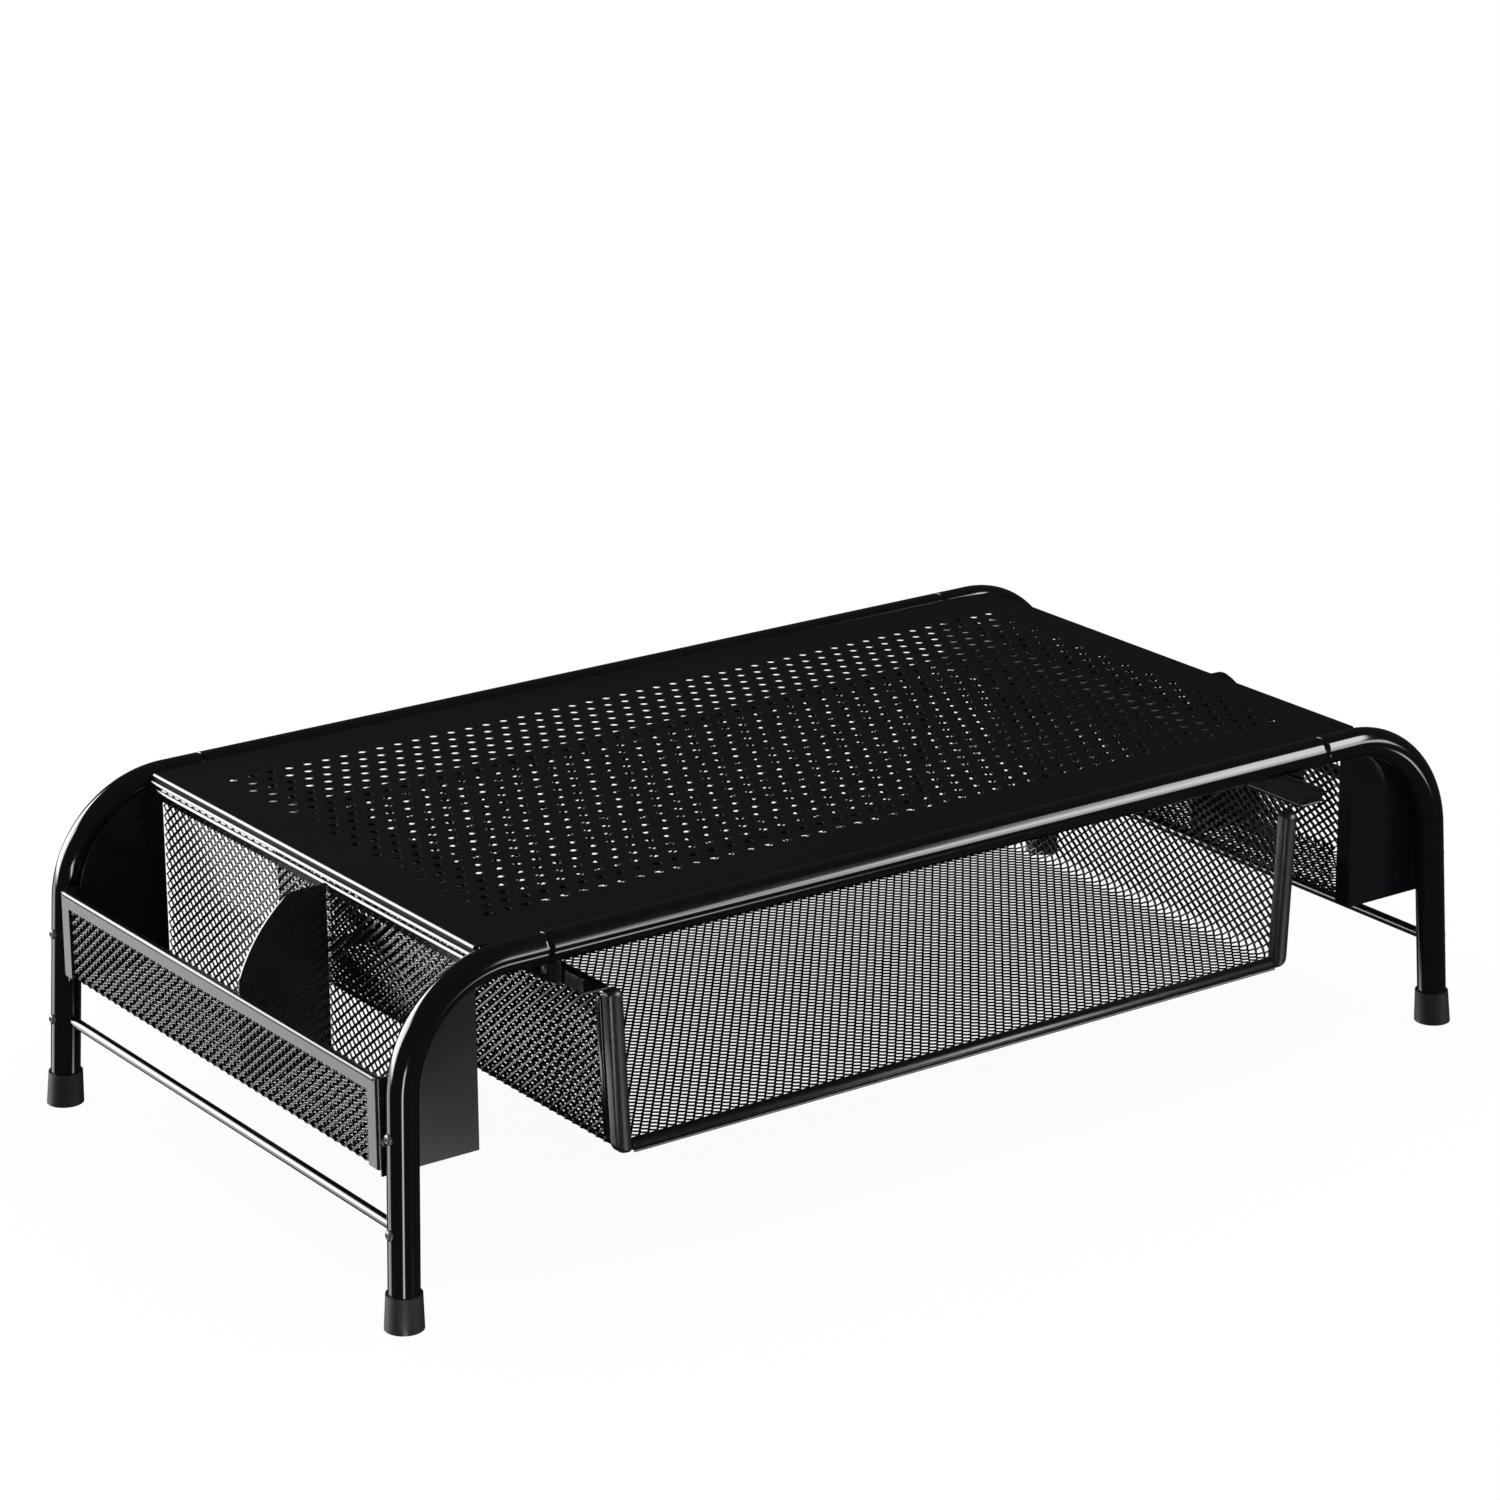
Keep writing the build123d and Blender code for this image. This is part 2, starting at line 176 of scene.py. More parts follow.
# Painted into the floor and seen only in reflections: painted shade under the riser, and painted light, a
# glowing wedge that opens from the front left foot, a gap ahead of its point
painted_shade_reach = (220 * MM, 110 * MM)
painted_shade_edge = 30 * MM
painted_wedge_start = (-252 * MM, -130 * MM, 0.0)
painted_wedge_turn = -148
painted_wedge_half_angle = 5.0
painted_wedge_gap = 5 * MM
painted_wedge_strength = 13.0


# Shapes

class FoldLine:
    """Section of a folded sheet: straight runs joined by round bends.

    A place on it is a distance from its start and a lift to the left of its direction.
    """

    def __init__(self, corners, radii):
        self.runs = []
        self.length = 0.0
        corners = [Vector(corner) for corner in corners]
        start = corners[0]
        for before, corner, after, radius in zip(corners, corners[1:], corners[2:], radii):
            inward = (corner - before).normalized()
            outward = (after - corner).normalized()
            turn = atan2(inward.cross(outward), inward.dot(outward))
            setback = radius * tan(abs(turn) / 2)
            bend_start = corner - inward * setback
            self.add_run(start, inward, (bend_start - start).length, 0.0)
            self.add_run(bend_start, inward, radius * abs(turn), turn)
            start = corner + outward * setback
        self.add_run(start, outward, (corners[-1] - start).length, 0.0)

    def add_run(self, start, direction, length, turn):
        self.runs.append((self.length, start, direction, length, turn))
        self.length += length

    def at(self, distance, lift):
        for run_start, start, direction, length, turn in reversed(self.runs):
            if distance >= run_start:
                break
        along = distance - run_start
        side = Vector((-direction.y, direction.x))
        if turn == 0.0:
            return start + direction * along + side * lift
        angle = turn * along / length
        radius = length / turn
        centre = start + side * radius
        arm = -side * (radius - lift)
        turned = Vector((arm.x * cos(angle) - arm.y * sin(angle), arm.x * sin(angle) + arm.y * cos(angle)))
        return centre + turned

    def marks(self, steps):
        """Distances of the ends of the runs, with each bend cut into steps."""
        found = [0.0]
        for run_start, _, _, length, turn in self.runs:
            parts = steps if turn else 1
            found += [run_start + length * part / parts for part in range(1, parts + 1)]
        return found


def add_piece(name, points, faces, body, material, replaced=()):
    """A mesh piece that rides on a body, and stands for the CAD nodes it replaces."""
    mesh = bpy.data.meshes.new(name)
    mesh.from_pydata(points, [], faces)
    shape = bmesh.new()
    shape.from_mesh(mesh)
    bmesh.ops.recalc_face_normals(shape, faces=shape.faces)
    shape.to_mesh(mesh)
    shape.free()
    mesh.materials.append(material)
    mesh.update()
    piece = bpy.data.objects.new(name, mesh)
    bpy.context.collection.objects.link(piece)
    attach(piece, body)
    if replaced:
        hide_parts(*replaced)
    return piece


def join_solid(points, faces, solid):
    """Adds the points and faces of a solid to those of a piece."""
    more_points, more_faces = solid
    faces += [tuple(index + len(points) for index in face) for face in more_faces]
    points += more_points


def expanded_net(place, rows, columns_in_row):
    """Points and faces of expanded metal.

    place(across, along, lift) gives a point. Rows and columns count half cells, and a cell
    sits wherever their sum is even.
    """
    half_length = cell_length / 2
    half_height = cell_height / 2
    slope = atan2(half_height, half_length)
    inset_length = strand_width / 2 / sin(slope)
    inset_height = strand_width / 2 / cos(slope)
    hole = (
        (inset_length - half_length, 0.0, 0.0),
        (-knuckle, half_height - inset_height, strand_lift),
        (knuckle, half_height - inset_height, strand_lift),
        (half_length - inset_length, 0.0, 0.0),
        (knuckle, inset_height - half_height, -strand_lift),
        (-knuckle, inset_height - half_height, -strand_lift),
    )
    points = []
    faces = []
    corners = {}

    def corner(column, row, side):
        key = (column, row, side)
        if key not in corners:
            corners[key] = len(points)
            points.append(place(column * half_length, row * half_height, side * strand_thickness / 2))
        return corners[key]

    for row in rows:
        first, last = columns_in_row(row)
        for column in range(first, last + 1):
            if (column + row) % 2:
                continue
            rings = []
            for side in (1, -1):
                left = corner(column - 1, row, side)
                right = corner(column + 1, row, side)
                top = corner(column, row + 1, side)
                bottom = corner(column, row - 1, side)
                ring = range(len(points), len(points) + len(hole))
                for across, along, lift in hole:
                    points.append(
                        place(
                            column * half_length + across,
                            row * half_height + along,
                            lift + side * strand_thickness / 2,
                        )
                    )
                around = (
                    (left, ring[0], ring[1], top), (top, ring[1], ring[2]),
                    (top, ring[2], ring[3], right), (right, ring[3], ring[4], bottom),
                    (bottom, ring[4], ring[5]), (bottom, ring[5], ring[0], left),
                )
                faces += around if side > 0 else [face[::-1] for face in around]
                rings.append(ring)
            upper, lower = rings
            for here in range(len(hole)):
                there = (here + 1) % len(hole)
                faces.append((upper[there], upper[here], lower[here], lower[there]))
    return points, faces


def whole_cells(half_width):
    """First and last column of the cells that fit in a half width on both sides."""
    reach = int(half_width / (cell_length / 2)) - 1
    return -reach, reach


def turned_profile(profile, segments, place, axis):
    """Points and faces of a round solid: (radius, height) pairs turned about an axis."""
    axis = Vector(axis).normalized()
    across = axis.orthogonal().normalized()
    third = axis.cross(across)
    points = []
    faces = []
    for radius, height in profile:
        for segment in range(segments):
            angle = 2 * pi * segment / segments
            points.append(place + axis * height + (across * cos(angle) + third * sin(angle)) * radius)
    for ring in range(len(profile) - 1):
        for segment in range(segments):
            following = (segment + 1) % segments
            low, high = ring * segments, (ring + 1) * segments
            faces.append((low + segment, low + following, high + following, high + segment))
    faces.append(tuple(range(segments))[::-1])
    faces.append(tuple(range((len(profile) - 1) * segments, len(profile) * segments)))
    return points, faces


def button_screws(name, places, head_d, rise, depth, body, material):
    """Domed screw heads with a round socket, all in one piece."""
    radius = head_d / 2
    profile = [(radius * 0.5, -depth), (radius * 0.94, -depth), (radius, 0.0)]
    for step in range(1, 5):
        angle = radians(68 * step / 4)
        profile.append((radius * cos(angle) ** 0.6, rise * sin(angle)))
    profile += [(radius * across, rise * up) for across, up in screw_socket]
    points = []
    faces = []
    for place, axis in places:
        join_solid(points, faces, turned_profile(profile, screw_segments, Vector(place), axis))
    piece = add_piece(name, points, faces, body, material)
    for polygon in piece.data.polygons:
        polygon.use_smooth = True


def lofted_rings(rings):
    """Points and faces of a solid that runs through closed rings of equal length."""
    points = [point for ring in rings for point in ring]
    size = len(rings[0])
    faces = [tuple(range(size))[::-1]]
    for ring in range(len(rings) - 1):
        for here in range(size):
            there = (here + 1) % size
            low, high = ring * size, (ring + 1) * size
            faces.append((low + here, low + there, high + there, high + here))
    faces.append(tuple(range((len(rings) - 1) * size, len(rings) * size)))
    return points, faces


def shade_round(piece, sharp_angle=50):
    """Smooth shading, with the sharper edges kept."""
    for polygon in piece.data.polygons:
        polygon.use_smooth = True
    piece.data.set_sharp_from_angle(angle=radians(sharp_angle))


# Nodes

COLOUR = "NodeSocketColor"
NUMBER = "NodeSocketFloat"
VECTOR = "NodeSocketVector"


def node_group(name, inputs, outputs):
    """An empty node group, the sockets it is given and the sockets it results in."""
    group = bpy.data.node_groups.new(name, "ShaderNodeTree")
    for socket_name, kind in inputs:
        group.interface.new_socket(socket_name, in_out="INPUT", socket_type=kind)
    for socket_name, kind in outputs:
        group.interface.new_socket(socket_name, in_out="OUTPUT", socket_type=kind)
    given = group.nodes.new("NodeGroupInput").outputs
    result = group.nodes.new("NodeGroupOutput").inputs
    return group, given, result


def feed(tree, socket, value):
    """Gives a socket a plain value, or links it to the output of another node."""
    if isinstance(value, bpy.types.NodeSocket):
        tree.links.new(value, socket)
    else:
        socket.default_value = value


def math_node(tree, operation, *values):
    node = tree.nodes.new("ShaderNodeMath")
    node.operation = operation
    for socket, value in zip(node.inputs, values):
        feed(tree, socket, value)
    return node.outputs["Value"]


def dot_product(tree, first, second):
    node = tree.nodes.new("ShaderNodeVectorMath")
    node.operation = "DOT_PRODUCT"
    feed(tree, node.inputs[0], first)
    feed(tree, node.inputs[1], second)
    return node.outputs["Value"]


def map_range(tree, value, kind, before, after):
    """Maps a value from one range onto another, each given as (start, end)."""
    node = tree.nodes.new("ShaderNodeMapRange")
    node.interpolation_type = kind
    names = ("Value", "From Min", "From Max", "To Min", "To Max")
    for name, given in zip(names, (value, *before, *after)):
        feed(tree, node.inputs[name], given)
    return node.outputs["Result"]


def fade_out(tree, value, start, end):
    """1 up to the start, 0 from the end, and a smooth fall between."""
    return map_range(tree, value, "SMOOTHSTEP", (start, end), (1.0, 0.0))


def mix_shaders(tree, factor, first, second):
    node = tree.nodes.new("ShaderNodeMixShader")
    for socket, value in zip(node.inputs, (factor, first, second)):
        feed(tree, socket, value)
    return node.outputs["Shader"]


# Materials

def coat_texture():
    """Node group: uneven sheen, fine orange peel and light rubbing of a powder coat."""
    group, given, result = node_group(
        "Powder coat texture",
        (("Colour", COLOUR), ("Rubbed colour", COLOUR), ("Roughness", NUMBER)),
        (("Colour", COLOUR), ("Roughness", NUMBER), ("Height", NUMBER)),
    )
    position = group.nodes.new("ShaderNodeTexCoord")

    def noise(scale, detail):
        node = group.nodes.new("ShaderNodeTexNoise")
        node.inputs["Scale"].default_value = scale
        node.inputs["Detail"].default_value = detail
        feed(group, node.inputs["Vector"], position.outputs["Object"])
        return node.outputs["Fac"]

    unevenness = map_range(group, noise(16.0, 4.0), "LINEAR", (0.0, 1.0), (-0.03, 0.05))
    feed(group, result["Roughness"], math_node(group, "ADD", given["Roughness"], unevenness))
    mix = group.nodes.new("ShaderNodeMix")
    mix.data_type = "RGBA"
    rubbed = map_range(group, noise(140.0, 6.0), "LINEAR", (0.62, 0.80), (0.0, 0.5))
    feed(group, mix.inputs["Factor"], rubbed)
    feed(group, mix.inputs[6], given["Colour"])
    feed(group, mix.inputs[7], given["Rubbed colour"])
    feed(group, result["Colour"], mix.outputs[2])
    feed(group, result["Height"], noise(900.0, 2.0))
    return group


coat_group = coat_texture()


def coated_steel(name, colour, rubbed_colour, roughness, peel, specular=0.5):
    """Black powder-coated steel, built round the shared texture."""
    material = bpy.data.materials.new(name)
    material.use_nodes = True
    nodes = material.node_tree.nodes
    links = material.node_tree.links
    shader = nodes["Principled BSDF"]
    texture = nodes.new("ShaderNodeGroup")
    texture.node_tree = coat_group
    texture.inputs["Colour"].default_value = (*colour, 1.0)
    texture.inputs["Rubbed colour"].default_value = (*rubbed_colour, 1.0)
    texture.inputs["Roughness"].default_value = roughness
    bump = nodes.new("ShaderNodeBump")
    bump.inputs["Strength"].default_value = peel
    bump.inputs["Distance"].default_value = 0.1 * MM
    links.new(texture.outputs["Colour"], shader.inputs["Base Color"])
    links.new(texture.outputs["Roughness"], shader.inputs["Roughness"])
    links.new(texture.outputs["Height"], bump.inputs["Height"])
    links.new(bump.outputs["Normal"], shader.inputs["Normal"])
    shader.inputs["Specular IOR Level"].default_value = specular
    return material


tube_coat = coated_steel("Tube coat", (0.003, 0.003, 0.0035), (0.008, 0.008, 0.009), 0.09, 0.015)
deck_coat = coated_steel("Deck coat", (0.003, 0.003, 0.003), (0.008, 0.008, 0.008), 0.55, 0.04, 0.1)
plate_coat = coated_steel("Plate coat", (0.004, 0.004, 0.006), (0.009, 0.009, 0.012), 0.12, 0.02, 0.5)
trim_coat = coated_steel("Trim coat", (0.004, 0.004, 0.005), (0.012, 0.012, 0.013), 0.14, 0.025)
bar_coat = coated_steel("Bar coat", (0.004, 0.004, 0.0055), (0.012, 0.012, 0.014), 0.34, 0.02, 0.9)
band_coat = coated_steel("Band coat", (0.006, 0.006, 0.007), (0.02, 0.02, 0.022), 0.24, 0.05)
net_coat = coated_steel("Net coat", (0.004, 0.004, 0.005), (0.012, 0.012, 0.012), 0.16, 0.02)
screw_coat = coated_steel("Screw coat", (0.05, 0.05, 0.052), (0.14, 0.14, 0.14), 0.30, 0.04, 0.6)
foot_rubber = coated_steel("Foot rubber", (0.010, 0.010, 0.010), (0.02, 0.02, 0.02), 0.55, 0.25, 0.3)


def soften_edges(thing):
    """Rounds the sheared edges of a sheet-metal piece."""
    weld = thing.modifiers.new("Joined corners", "WELD")
    weld.merge_threshold = MM / 1000
    bevel = thing.modifiers.new("Soft edges", "BEVEL")
    bevel.width = edge_round
    bevel.segments = 2
    bevel.limit_method = "ANGLE"
    bevel.angle_limit = radians(35)
    thing.modifiers.new("Flat faces", "WEIGHTED_NORMAL")


def finish_of(node):
    """Material of a CAD node that stays."""
    if node == "foot_caps":
        return foot_rubber
    if node.endswith("_outer_frame"):
        return band_coat
    if node.endswith("_rod"):
        return tube_coat
    if node.endswith(("_panel", "_divider")):
        return plate_coat
    return trim_coat


drawn_anew = ["deck", "drawer_floor", "drawer_rear", "drawer_front_frame"]
drawn_anew += [f"{end_name}_{part}" for end_name in ("front", "rear") for part in ("rail", "legs")]
for side_name in ("left", "right"):
    for part in ("bin_inner_wall", "bin_floor", "bin_outer_wall", "bin_top_strip", "drawer_side"):
        drawn_anew.append(f"{side_name}_{part}")

for node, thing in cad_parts.items():
    thing.data.materials.clear()
    thing.data.materials.append(finish_of(node))
    if node not in drawn_anew and not node.endswith(("_caps", "_rod")):
        soften_edges(thing)


# Tubes

def tube(path, tangents, across):
    """Points and faces of a tube along a plane path, with rounded ends."""
    rings = []
    last = len(path) - 1
    for count, (centre, tangent) in enumerate(zip(path, tangents)):
        radius = tube_r
        if count in (0, last):
            radius = tube_r - seam_round
        elif count in (1, last - 1):
            radius = tube_r - 0.3 * seam_round
        normal = tangent.cross(across)
        rings.append([
            centre + (normal * cos(angle) + across * sin(angle)) * radius
            for angle in (2 * pi * step / tube_segments for step in range(tube_segments))
        ])
    return lofted_rings(rings)


def tube_marks(length, between=()):
    """Distances of a tube's rings, close together at both ends for the rounding."""
    near = [0.0, 0.3 * seam_round, seam_round, 2 * seam_round]
    return near + list(between) + [length - mark for mark in reversed(near)]


def rail_tube(end_name):
    low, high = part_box(f"{end_name}_rail")
    depth = (low.y + high.y) / 2
    height = (low.z + high.z) / 2
    path = [Vector((low.x + mark, depth, height)) for mark in tube_marks(high.x - low.x)]
    points, faces = tube(path, [Vector((1, 0, 0))] * len(path), Vector((0, 1, 0)))
    piece = add_piece(
        f"{end_name.capitalize()}_rail_tube", points, faces, "riser", tube_coat,
        (f"{end_name}_rail",),
    )
    shade_round(piece, 30)


def leg_tubes(end_name, end):
    """Both legs of a rail, bent down in a plane that leans outward."""
    low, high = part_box(f"{end_name}_rail")
    rail_y = abs(low.y + high.y) / 2
    rail_z = (low.z + high.z) / 2
    drop = (rail_z - leg_foot_z) / cos(radians(arch_tilt))
    line = FoldLine(
        [(high.x, 0), (leg_top_x, 0), (leg_top_x + drop * leg_splay, -drop)], (leg_bend,)
    )
    marks = tube_marks(line.length, line.marks(leg_bend_steps)[1:-1])
    up = Vector((0, -end * sin(radians(arch_tilt)), cos(radians(arch_tilt))))
    points = []
    faces = []
    for _, side in SIDES:
        outward = Vector((side, 0, 0))
        path = []
        for mark in marks:
            out, rise = line.at(mark, 0.0)
            path.append(Vector((0, end * rail_y, rail_z)) + outward * out + up * rise)
        tangents = []
        for mark in marks:
            ahead = line.at(min(mark + MM / 100, line.length), 0.0)
            behind = line.at(max(mark - MM / 100, 0.0), 0.0)
            step = (ahead - behind).normalized()
            tangents.append(outward * step.x + up * step.y)
        join_solid(points, faces, tube(path, tangents, outward.cross(up).normalized()))
    piece = add_piece(
        f"{end_name.capitalize()}_leg_tubes", points, faces, "riser", tube_coat,
        (f"{end_name}_legs",),
    )
    shade_round(piece, 30)


for end_name, end in ENDS:
    rail_tube(end_name.lower())
    leg_tubes(end_name.lower(), end)


# Deck

def perforated_deck():
    """The deck's sheet: holes in staggered rows, folded down along both sides."""
    low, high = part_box("deck")
    half = deck_sheet / 2
    top_z = high.z - half
    fold_x = high.x - deck_edge
    edge = [(fold_x - flange_lean, low.z), (fold_x, top_z)]
    corners = [(-x, z) for x, z in edge] + edge[::-1]
    fold = FoldLine(corners, (deck_bend, deck_bend))
    middle = fold.length / 2
    flat_reach = fold_x - deck_bend
    step = hole_pitch / 2
    halves = [count * step for count in range(-hole_columns, hole_columns + 1)]
    stations = [mark for mark in fold.marks(4) if abs(mark - middle) > flat_reach - MM / 10]
    stations = sorted(stations + [middle + place for place in halves])
    field_start = stations.index(middle - hole_columns * step)
    row_edges = [(row - hole_rows / 2) * hole_row_pitch for row in range(hole_rows + 1)]
    depths = [low.y] + row_edges + [high.y]
    flange_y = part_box("left_bin_top_strip")[1].y + flange_overrun

    points = []
    faces = []
    known = {}

    def point(distance, depth, lift):
        x, z = fold.at(distance, lift)
        points.append((x, depth, z))
        return len(points) - 1

    def grid(column, row, side):
        key = (column, row, side)
        if key not in known:
            depth = depths[row]
            if abs(stations[column] - middle) > flat_reach:
                depth = max(-flange_y, min(flange_y, depth))
            known[key] = point(stations[column], depth, side * half)
        return known[key]

    def hole(column, row):
        centre = stations[column + 1]
        depth = (depths[row] + depths[row + 1]) / 2
        rings = []
        for radius, lift in (
            (hole_d / 2 + hole_rim, half), (hole_d / 2, half - hole_rim), (hole_d / 2, -half)
        ):
            ring = []
            for count in range(hole_sides):
                angle = 2 * pi * count / hole_sides
                ring.append(point(centre + radius * cos(angle), depth + radius * sin(angle), lift))
            rings.append(ring)
        for side, ring in ((1, rings[0]), (-1, rings[2])):
            outline = [
                grid(column + 2, row, side), grid(column + 2, row + 1, side),
                grid(column + 1, row + 1, side), grid(column, row + 1, side),
                grid(column, row, side), grid(column + 1, row, side),
            ]
            for sector in range(6):
                first = (2 * sector - 1) % hole_sides
                faces.append((
                    outline[sector], outline[(sector + 1) % 6],
                    ring[(first + 2) % hole_sides], ring[(first + 1) % hole_sides], ring[first],
                ))
        for upper, lower in zip(rings, rings[1:]):
            for here in range(hole_sides):
                there = (here + 1) % hole_sides
                faces.append((upper[here], upper[there], lower[there], lower[here]))

    for row in range(len(depths) - 1):
        column = 0
        while column < len(stations) - 1:
            across = column - field_start
            in_field = 0 <= across < 2 * hole_columns - 1 and 1 <= row <= hole_rows
            if in_field and (across + row) % 2:
                hole(column, row)
                column += 2
                continue
            for side in (1, -1):
                faces.append((
                    grid(column, row, side), grid(column + 1, row, side),
                    grid(column + 1, row + 1, side), grid(column, row + 1, side),
                ))
            column += 1
    for column in range(len(stations) - 1):
        for row in (0, len(depths) - 1):
            faces.append((
                grid(column, row, -1), grid(column + 1, row, -1),
                grid(column + 1, row, 1), grid(column, row, 1),
            ))
    for column in (0, len(stations) - 1):
        for row in range(len(depths) - 1):
            faces.append((
                grid(column, row, -1), grid(column, row + 1, -1),
                grid(column, row + 1, 1), grid(column, row, 1),
            ))
    add_piece("Perforated_deck", points, faces, "riser", deck_coat, ("deck",))


def lip_section(out, bottom):
    """Section of a rolled edge as (out, z) points, from its underside upward."""
    first, last = (radians(turn) for turn in lip_turns)
    radius = lip_height / (sin(last) - sin(first))
    section = [(out - inset * MM, bottom - drop * MM) for inset, drop in lip_underside]
    for step in range(5):
        turn = first + (last - first) * step / 4
        section.append((
            out + radius * (cos(turn) - cos(first)),
            bottom + radius * (sin(turn) - sin(first)),
        ))
    return section


def edge_strips(name, section, half_length, material, replaced=()):
    """The same section along both sides of the riser."""
    points = []
    faces = []
    for _, side in SIDES:
        rings = [[(side * out, y, z) for out, z in section] for y in (-half_length, half_length)]
        join_solid(points, faces, lofted_rings(rings))
    piece = add_piece(name, points, faces, "riser", material, replaced)
    shade_round(piece, 40)


def deck_hems():
    """Rolled hems along the deck's flanges, and a crisp corner above them."""
    low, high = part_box("deck")
    half_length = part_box("left_bin_top_strip")[1].y
    back = high.x - deck_edge - flange_lean / 2
    section = lip_section(high.x, low.z + hem_rise_from_deck)
    section += [(back, section[-1][1]), (back, section[0][1])]
    edge_strips("Deck_hems", section, half_length, trim_coat)
    section = lip_section(high.x - deck_edge + bend_lip_reach, high.z - bend_lip_drop)[2:]
    section += [(back, section[-1][1] - MM / 20), (back, section[0][1])]
    edge_strips("Deck_corners", section, half_length, trim_coat)


def bin_top_strips():
    """Strips along the tops of the bins' inner walls, each with a rolled upper edge."""
    low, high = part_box("right_bin_top_strip")
    section = lip_section(high.x, high.z - strip_lip_drop)
    face_x = section[0][0]
    foot = high.z - strip_height
    section += [(low.x - MM / 2, section[-1][1]), (low.x - MM / 2, foot), (face_x - strip_lean, foot)]
    replaced = ("left_bin_top_strip", "right_bin_top_strip")
    edge_strips("Bin_top_strips", section, high.y, trim_coat, replaced)


perforated_deck()
deck_hems()
bin_top_strips()


# Side bins

def bin_net(side_name, side):
    """Inner wall, floor and outer wall of a bin, folded from one net."""
    node = side_name.lower()
    wall_low, wall_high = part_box("right_bin_inner_wall")
    outer_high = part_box("right_bin_outer_wall")[1]
    half = sheet / 2
    inner_x = wall_low.x + half
    outer_x = outer_high.x - half
    floor_z = wall_low.z + half
    fold = FoldLine(
        [(inner_x, wall_high.z), (inner_x, floor_z), (outer_x, floor_z), (outer_x, outer_high.z)],
        (bin_bend - half, bin_bend - half),
    )
    inner_run = wall_high.z - floor_z - bin_bend

    def place(across, along, lift):
        x, z = fold.at(along, lift)
        return (side * x, across, z)

    def columns(row):
        on_inner_wall = row * cell_height / 2 < inner_run
        return whole_cells(wall_high.y if on_inner_wall else outer_high.y)

    rows = range(1, int(fold.length / (cell_height / 2)))
    points, faces = expanded_net(place, rows, columns)
    add_piece(
        f"{side_name}_bin_net", points, faces, "riser", net_coat,
        (f"{node}_bin_inner_wall", f"{node}_bin_floor", f"{node}_bin_outer_wall"),
    )


for side_name, side in SIDES:
    bin_net(side_name, side)


def bin_rims():
    """Rolled upper edges of the bins' outer frames."""
    low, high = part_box("right_bin_outer_frame")
    points = []
    faces = []
    for _, side in SIDES:
        rings = []
        front = [(low.y + reach * rim_round, share * rim_round) for reach, share in rim_ends]
        rear = [(high.y - reach * rim_round, share * rim_round) for reach, share in reversed(rim_ends)]
        for y, radius in front + rear:
            ring = []
            for step in range(rim_sides):
                angle = 2 * pi * step / rim_sides
                out = high.x - rim_sink + radius * cos(angle)
                ring.append((side * out, y, high.z - rim_sink + radius * sin(angle)))
            rings.append(ring)
        join_solid(points, faces, lofted_rings(rings))
    shade_round(add_piece("Bin_rims", points, faces, "riser", trim_coat))


bin_rims()


# Drawer

def drawer_nets():
    """Both sides and the floor of the drawer, folded from one net and split into four."""
    side_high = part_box("right_drawer_side")[1]
    floor_low, floor_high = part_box("drawer_floor")
    half = sheet / 2
    floor_z = floor_low.z + half
    top_x = side_high.x - half
    bottom_x = top_x - drawer_taper
    corners = [(-top_x, side_high.z), (-bottom_x, floor_z), (bottom_x, floor_z), (top_x, side_high.z)]
    fold = FoldLine(corners, (drawer_bend - half, drawer_bend - half))
    middle_y = (floor_low.y + floor_high.y) / 2
    half_y = (floor_high.y - floor_low.y) / 2 + MM
    half_rows = int(fold.length / cell_height)

    def place(across, along, lift):
        x, z = fold.at(fold.length / 2 + along, lift)
        return (x, middle_y + across, z)

    edge_row = int(floor_high.x / (cell_height / 2))
    floor_rows = range(-edge_row, edge_row + 1)
    first, last = whole_cells(half_y)
    parts = (
        ("Left_drawer_net", range(-half_rows + 1, -edge_row), (first, last), "left_drawer_side"),
        ("Drawer_floor_net_front", floor_rows, (first, -1), "drawer_floor"),
        ("Drawer_floor_net_rear", floor_rows, (0, last), "drawer_floor"),
        ("Right_drawer_net", range(edge_row + 1, half_rows), (first, last), "right_drawer_side"),
    )
    for name, rows, columns, node in parts:
        points, faces = expanded_net(place, rows, lambda row: columns)
        add_piece(name, points, faces, "drawer", net_coat, (node,))


def drawer_rear_net():
    """Rear wall of the drawer, narrower at the bottom."""
    low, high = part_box("drawer_rear")
    middle_z = (low.z + high.z) / 2
    depth = (low.y + high.y) / 2

    def place(across, along, lift):
        return (across, depth - lift, middle_z + along)

    def columns(row):
        rise = row * cell_height / 2 + middle_z - low.z
        return whole_cells(high.x - drawer_taper * (1 - rise / (high.z - low.z)))

    half_rows = int((high.z - low.z) / cell_height)
    points, faces = expanded_net(place, range(1 - half_rows, half_rows), columns)
    add_piece("Drawer_rear_net", points, faces, "drawer", net_coat, ("drawer_rear",))


